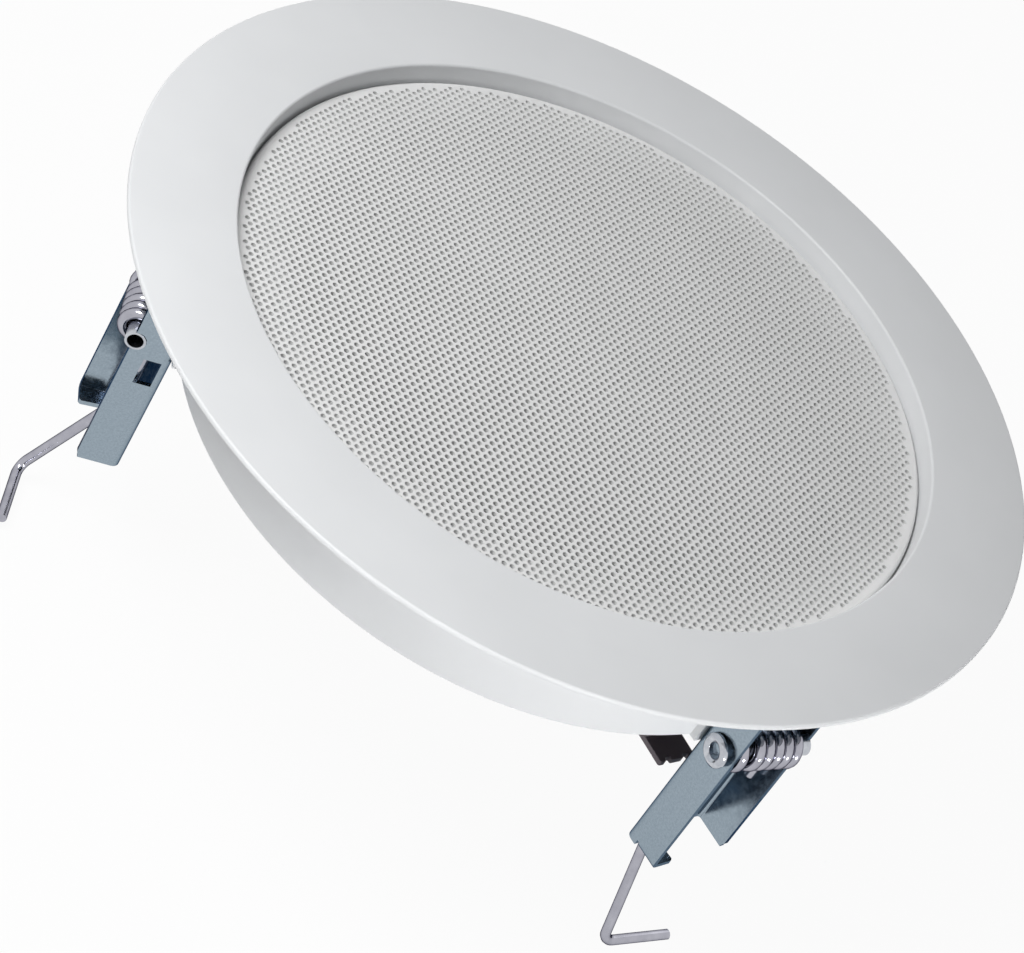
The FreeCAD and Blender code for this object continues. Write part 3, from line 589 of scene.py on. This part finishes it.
def bendRoute(corners, radii, steps=8):
    # straight runs with their corners turned on an arc
    route = [corners[0]]
    for index, radius in enumerate(radii, 1):
        into = (corners[index] - corners[index - 1]).normalized()
        onward = (corners[index + 1] - corners[index]).normalized()
        half = into.angle(onward) / 2
        centre = corners[index] + (onward - into).normalized() * (radius / math.cos(half))
        start = corners[index] - into * (radius * math.tan(half)) - centre
        axis = into.cross(onward).normalized()
        for step in range(steps + 1):
            route.append(centre + Matrix.Rotation(2 * half * step / steps, 3, axis) @ start)
    route.append(corners[-1])
    return route


def makeSpring(name, sizes, place):
    pivotX, pivotZ = sizes["pivot"]
    radius, wire = sizes["coil"], sizes["wire"]
    # turns start at the fixed leg, which lies on the web, and wind towards the arm
    length = sizes["coilTo"] - sizes["coilFrom"] - 2 * wire
    turns = round(length / (sizes["turnPitch"] * wire))
    perTurn = sizes["perTurn"]
    points = [Vector((pivotX - radius, sizes["coilTo"] - wire, sizes["legFoot"]))]
    for step in range(turns * perTurn + 1):
        angle = math.pi + 2 * math.pi * step / perTurn
        y = sizes["coilTo"] - wire - length * step / (turns * perTurn)
        points.append(Vector((pivotX + radius * math.cos(angle), y, pivotZ - radius * math.sin(angle))))
    makeWire("springCoil_" + name, [place @ point for point in points], wire,
             "spring_wire", "speaker", "spring_coil_" + name)

    # last turn of the same wire, then the arm with its knee and hook
    points = []
    for step in range(perTurn + 1):
        angle = math.pi + 2 * math.pi * step / perTurn
        x, z = pivotX + radius * math.cos(angle), pivotZ - radius * math.sin(angle)
        points.append(Vector((x, sizes["eye"], z)))
    lean = math.radians(sizes["lean"][name])
    knee = Vector((pivotX - radius, sizes["eye"], sizes["end"]))
    tip = knee + Vector((math.sin(lean), 0, -math.cos(lean))) * sizes["armLength"]
    hook = Vector((0, sizes["hookLength"], 0))
    armRoute = [points[-1], knee, tip, tip + hook]
    points = points[:-1] + bendRoute(armRoute, (sizes["armBend"], sizes["hookBend"]))
    makeWire("clipArm_" + name, [place @ point for point in points], wire,
             "spring_wire", "arm_" + name, "clip_arm_" + name)


for clipName, clipAngle in clipAngles.items():
    clipPlace = turnAbout(clipAngle)
    makeBracket(clipName, clip, clipPlace)
    # the spring lies askew in its channel, turned about the upright through its eye
    eyeSpot = Vector((clip["pivot"][0], clip["eye"], 0))
    askew = Matrix.Translation(eyeSpot) @ turnAbout(-clip["skew"]) @ Matrix.Translation(-eyeSpot)
    makePin(clipName, clip, clipPlace @ askew)
    makeSpring(clipName, clip, clipPlace @ askew)
print("spring clips made")


# terminal block: dark upright under the lug, with a thin notched foot for the wires
terminal = {
    "angle": 327.4,
    "near": 72.0,
    "upright": 77.5,
    "edge": 84.7,
    "half": 5.2,
    "top": -31.0,
    "footTop": -50.0,
    "low": -51.6,
    "notchWidth": 1.6,
    "notchDepth": 0.9,
    "cornerRound": 0.6,
    "mouthRound": 0.4,
    "floorRound": 0.3,
    "overlap": 0.1,
    "edgeBevel": 0.2,
}


def makeTerminal(sizes):
    near, edge, half = sizes["near"], sizes["edge"], sizes["half"]
    floor, slot = edge - sizes["notchDepth"], sizes["notchWidth"] / 2
    corner, mouth, inset = sizes["cornerRound"], sizes["mouthRound"], sizes["floorRound"]
    outline = [(near, -half), (edge, -half, corner)]
    for middle in (-half / 2, half / 2):
        outline += [
            (edge, middle - slot, mouth), (floor, middle - slot, inset),
            (floor, middle + slot, inset), (edge, middle + slot, mouth),
        ]
    outline += [(edge, half, corner), (near, half)]
    place = turnAbout(sizes["angle"])
    mesh = bmesh.new()
    addPrism(mesh, roundCorners(outline, 4), sizes["low"], sizes["footTop"], place)
    foot = sizes["footTop"] - sizes["overlap"]
    addBlock(mesh, (near, -half, foot), (sizes["upright"], half, sizes["top"]), place)
    makePiece("terminalBody", mesh, "terminal_plastic", "speaker", ["terminal_block"],
              bevel=sizes["edgeBevel"])


makeTerminal(terminal)
print("terminal block made")


# soft rings: rubber surround and cloth spider
softRings = {
    "sheet": 0.6,
    "surround": {
        "inner": 55.0, "rollFrom": 58.5, "rollTo": 67.0, "outer": 72.0,
        "level": -10.3, "rise": 3.0, "steps": 16, "still": 66.0, "moved": 58.5,
        "sectors": 24, "turns": 4,
    },
    "spider": {
        "inner": 13.05, "waveTo": 33.0, "outer": 38.8,
        "level": -36.0, "rise": 1.4, "waves": 4, "steps": 40, "still": 31.8, "moved": 13.4,
        "sectors": 12, "turns": 8,
    },
}


def rollLine(ring, lift):
    # flat lip, half round roll, flat lip; lift raises the line and widens its roll
    level = ring["level"] + lift
    middle = (ring["rollFrom"] + ring["rollTo"]) / 2
    reach = (ring["rollTo"] - ring["rollFrom"]) / 2 - softRings["sheet"] + lift
    line = [(ring["inner"], level)]
    for step in range(ring["steps"] + 1):
        angle = math.pi * step / ring["steps"]
        line.append((middle - reach * math.cos(angle), level + ring["rise"] * math.sin(angle)))
    return line + [(ring["outer"], level)]


def waveLine(ring, lift):
    # pressed waves, then a flat edge
    level = ring["level"] + lift
    line = []
    for step in range(ring["steps"] + 1):
        share = step / ring["steps"]
        radius = ring["inner"] + (ring["waveTo"] - ring["inner"]) * share
        line.append((radius, level + ring["rise"] * math.sin(2 * math.pi * ring["waves"] * share)))
    return line + [(ring["outer"], level)]


def makeSoftRing(node, slot, lineOf, sizes):
    # built in sectors, each its own piece running along its own radius
    ring = sizes[node]
    under, upper = lineOf(ring, 0.0), lineOf(ring, sizes["sheet"])
    outline = under + upper[::-1]
    last = len(outline) - 1
    sectorTurn = 2 * math.pi / ring["sectors"]
    for sector in range(ring["sectors"]):
        mesh = bmesh.new()
        rows = []
        for step in range(ring["turns"] + 1):
            angle = sectorTurn * (sector + step / ring["turns"] - 0.5)
            cosine, sine = math.cos(angle), math.sin(angle)
            rows.append([mesh.verts.new((x * cosine, x * sine, z)) for x, z in outline])
        for here, onward in zip(rows, rows[1:]):
            for spot in range(len(outline)):
                far = (spot + 1) % len(outline)
                mesh.faces.new((here[spot], onward[spot], onward[far], here[far]))
        for row in (rows[0], rows[-1]):
            for spot in range(len(under) - 1):
                mesh.faces.new((row[spot], row[spot + 1], row[last - spot - 1], row[last - spot]))
        piece = makePiece("%sSector_%d" % (node, sector + 1), mesh, slot, None, [node])
        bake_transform(piece)


makeSoftRing("surround", "surround_rubber", rollLine, softRings)
makeSoftRing("spider", "spider_cloth", waveLine, softRings)
print("soft rings made")


# floor, light and camera; lights are placed in metres, the camera's eye in millimetres
stage = {
    "floorSide": 8.0,
    "floorGap": 0.0005,
    "floorTone": (0.80, 0.80, 0.80),
    "paperShare": 0.95,
    "paperGlow": 1.0,
    "worldTone": (0.93, 0.96, 1.0),
    "worldStrength": 0.125,
    # the skirt's light is a strip that stays lower than the flange, so that it makes no glare on it
    "lights": [
        {"name": "keyLight", "at": (-0.26, -0.25, 0.45), "size": (0.35, 0.35), "watts": 3.0},
        {"name": "skirtLight", "at": (0.75, -0.75, -0.05), "size": (0.5, 0.09), "watts": 6.7},
        {"name": "backLight", "at": (0.3, 1.0, 0.8), "size": (0.8, 0.8), "watts": 0.7},
    ],
    "eye": (42.6, -572.7, 418.5),
    "right": (0.8136, 0.4008, 0.4206),
    "up": (-0.5782, 0.4902, 0.6520),
    "forward": (-0.0551, 0.7740, -0.6310),
    "lens": 109.2,
}


def seenDirectly(tree):
    # 1 for a ray from the camera, a mirror or glass, 0 for light that fills the scene
    path = tree.nodes.new("ShaderNodeLightPath")
    total = path.outputs["Is Camera Ray"]
    for kind in ("Is Glossy Ray", "Is Transmission Ray"):
        either = tree.nodes.new("ShaderNodeMath")
        either.operation = "MAXIMUM"
        tree.links.new(total, either.inputs[0])
        tree.links.new(path.outputs[kind], either.inputs[1])
        total = either.outputs["Value"]
    return total


def makeStage(sizes):
    scene = bpy.context.scene
    scene.view_settings.view_transform = "Standard"
    side = sizes["floorSide"] / 2
    level = cadLow[2] - sizes["floorGap"]
    data = bpy.data.meshes.new("floor")
    corners = [(-side, -side, level), (side, -side, level), (side, side, level), (-side, side, level)]
    data.from_pydata(corners, [], [(0, 1, 2, 3)])
    floor = bpy.data.objects.new("floor", data)
    scene.collection.objects.link(floor)
    # where the camera or a mirror looks, the floor is white paper that keeps a soft shadow
    paper, tree, shader, _ = startFinish("paperWhite", 0.9)
    shader.inputs["Base Color"].default_value = (*sizes["floorTone"], 1)
    glow = tree.nodes.new("ShaderNodeEmission")
    glow.inputs["Strength"].default_value = sizes["paperGlow"]
    share = tree.nodes.new("ShaderNodeMath")
    share.operation = "MULTIPLY"
    share.inputs[1].default_value = sizes["paperShare"]
    tree.links.new(seenDirectly(tree), share.inputs[0])
    mix = tree.nodes.new("ShaderNodeMixShader")
    tree.links.new(share.outputs["Value"], mix.inputs["Fac"])
    tree.links.new(shader.outputs["BSDF"], mix.inputs[1])
    tree.links.new(glow.outputs["Emission"], mix.inputs[2])
    tree.links.new(mix.outputs["Shader"], tree.nodes["Material Output"].inputs["Surface"])
    data.materials.append(paper)

    world = bpy.data.worlds.new("studio")
    world.use_nodes = True
    tree = world.node_tree
    sky = tree.nodes["Background"]
    sky.inputs["Color"].default_value = (*sizes["worldTone"], 1)
    sky.inputs["Strength"].default_value = sizes["worldStrength"]
    white = tree.nodes.new("ShaderNodeBackground")
    white.inputs["Color"].default_value = (1, 1, 1, 1)
    mix = tree.nodes.new("ShaderNodeMixShader")
    tree.links.new(seenDirectly(tree), mix.inputs["Fac"])
    tree.links.new(sky.outputs["Background"], mix.inputs[1])
    tree.links.new(white.outputs["Background"], mix.inputs[2])
    tree.links.new(mix.outputs["Shader"], tree.nodes["World Output"].inputs["Surface"])
    scene.world = world

    for lamp in sizes["lights"]:
        light = bpy.data.lights.new(lamp["name"], "AREA")
        light.shape = "ELLIPSE"
        light.size, light.size_y = lamp["size"]
        light.energy = lamp["watts"]
        holder = bpy.data.objects.new(lamp["name"], light)
        holder.location = lamp["at"]
        holder.rotation_euler = Vector(lamp["at"]).to_track_quat("Z", "Y").to_euler()
        scene.collection.objects.link(holder)

    camera = bpy.data.cameras.new("camera")
    camera.sensor_width = 36
    camera.sensor_fit = "HORIZONTAL"
    camera.lens = sizes["lens"]
    camera.clip_start = 0.01
    holder = bpy.data.objects.new("camera", camera)
    right, up, back = Vector(sizes["right"]), Vector(sizes["up"]), -Vector(sizes["forward"])
    turned = Matrix((right, up, back)).transposed().to_4x4()
    holder.matrix_world = Matrix.Translation(Vector(sizes["eye"]) * mm) @ turned
    scene.collection.objects.link(holder)
    scene.camera = holder


makeStage(stage)
print("stage made")
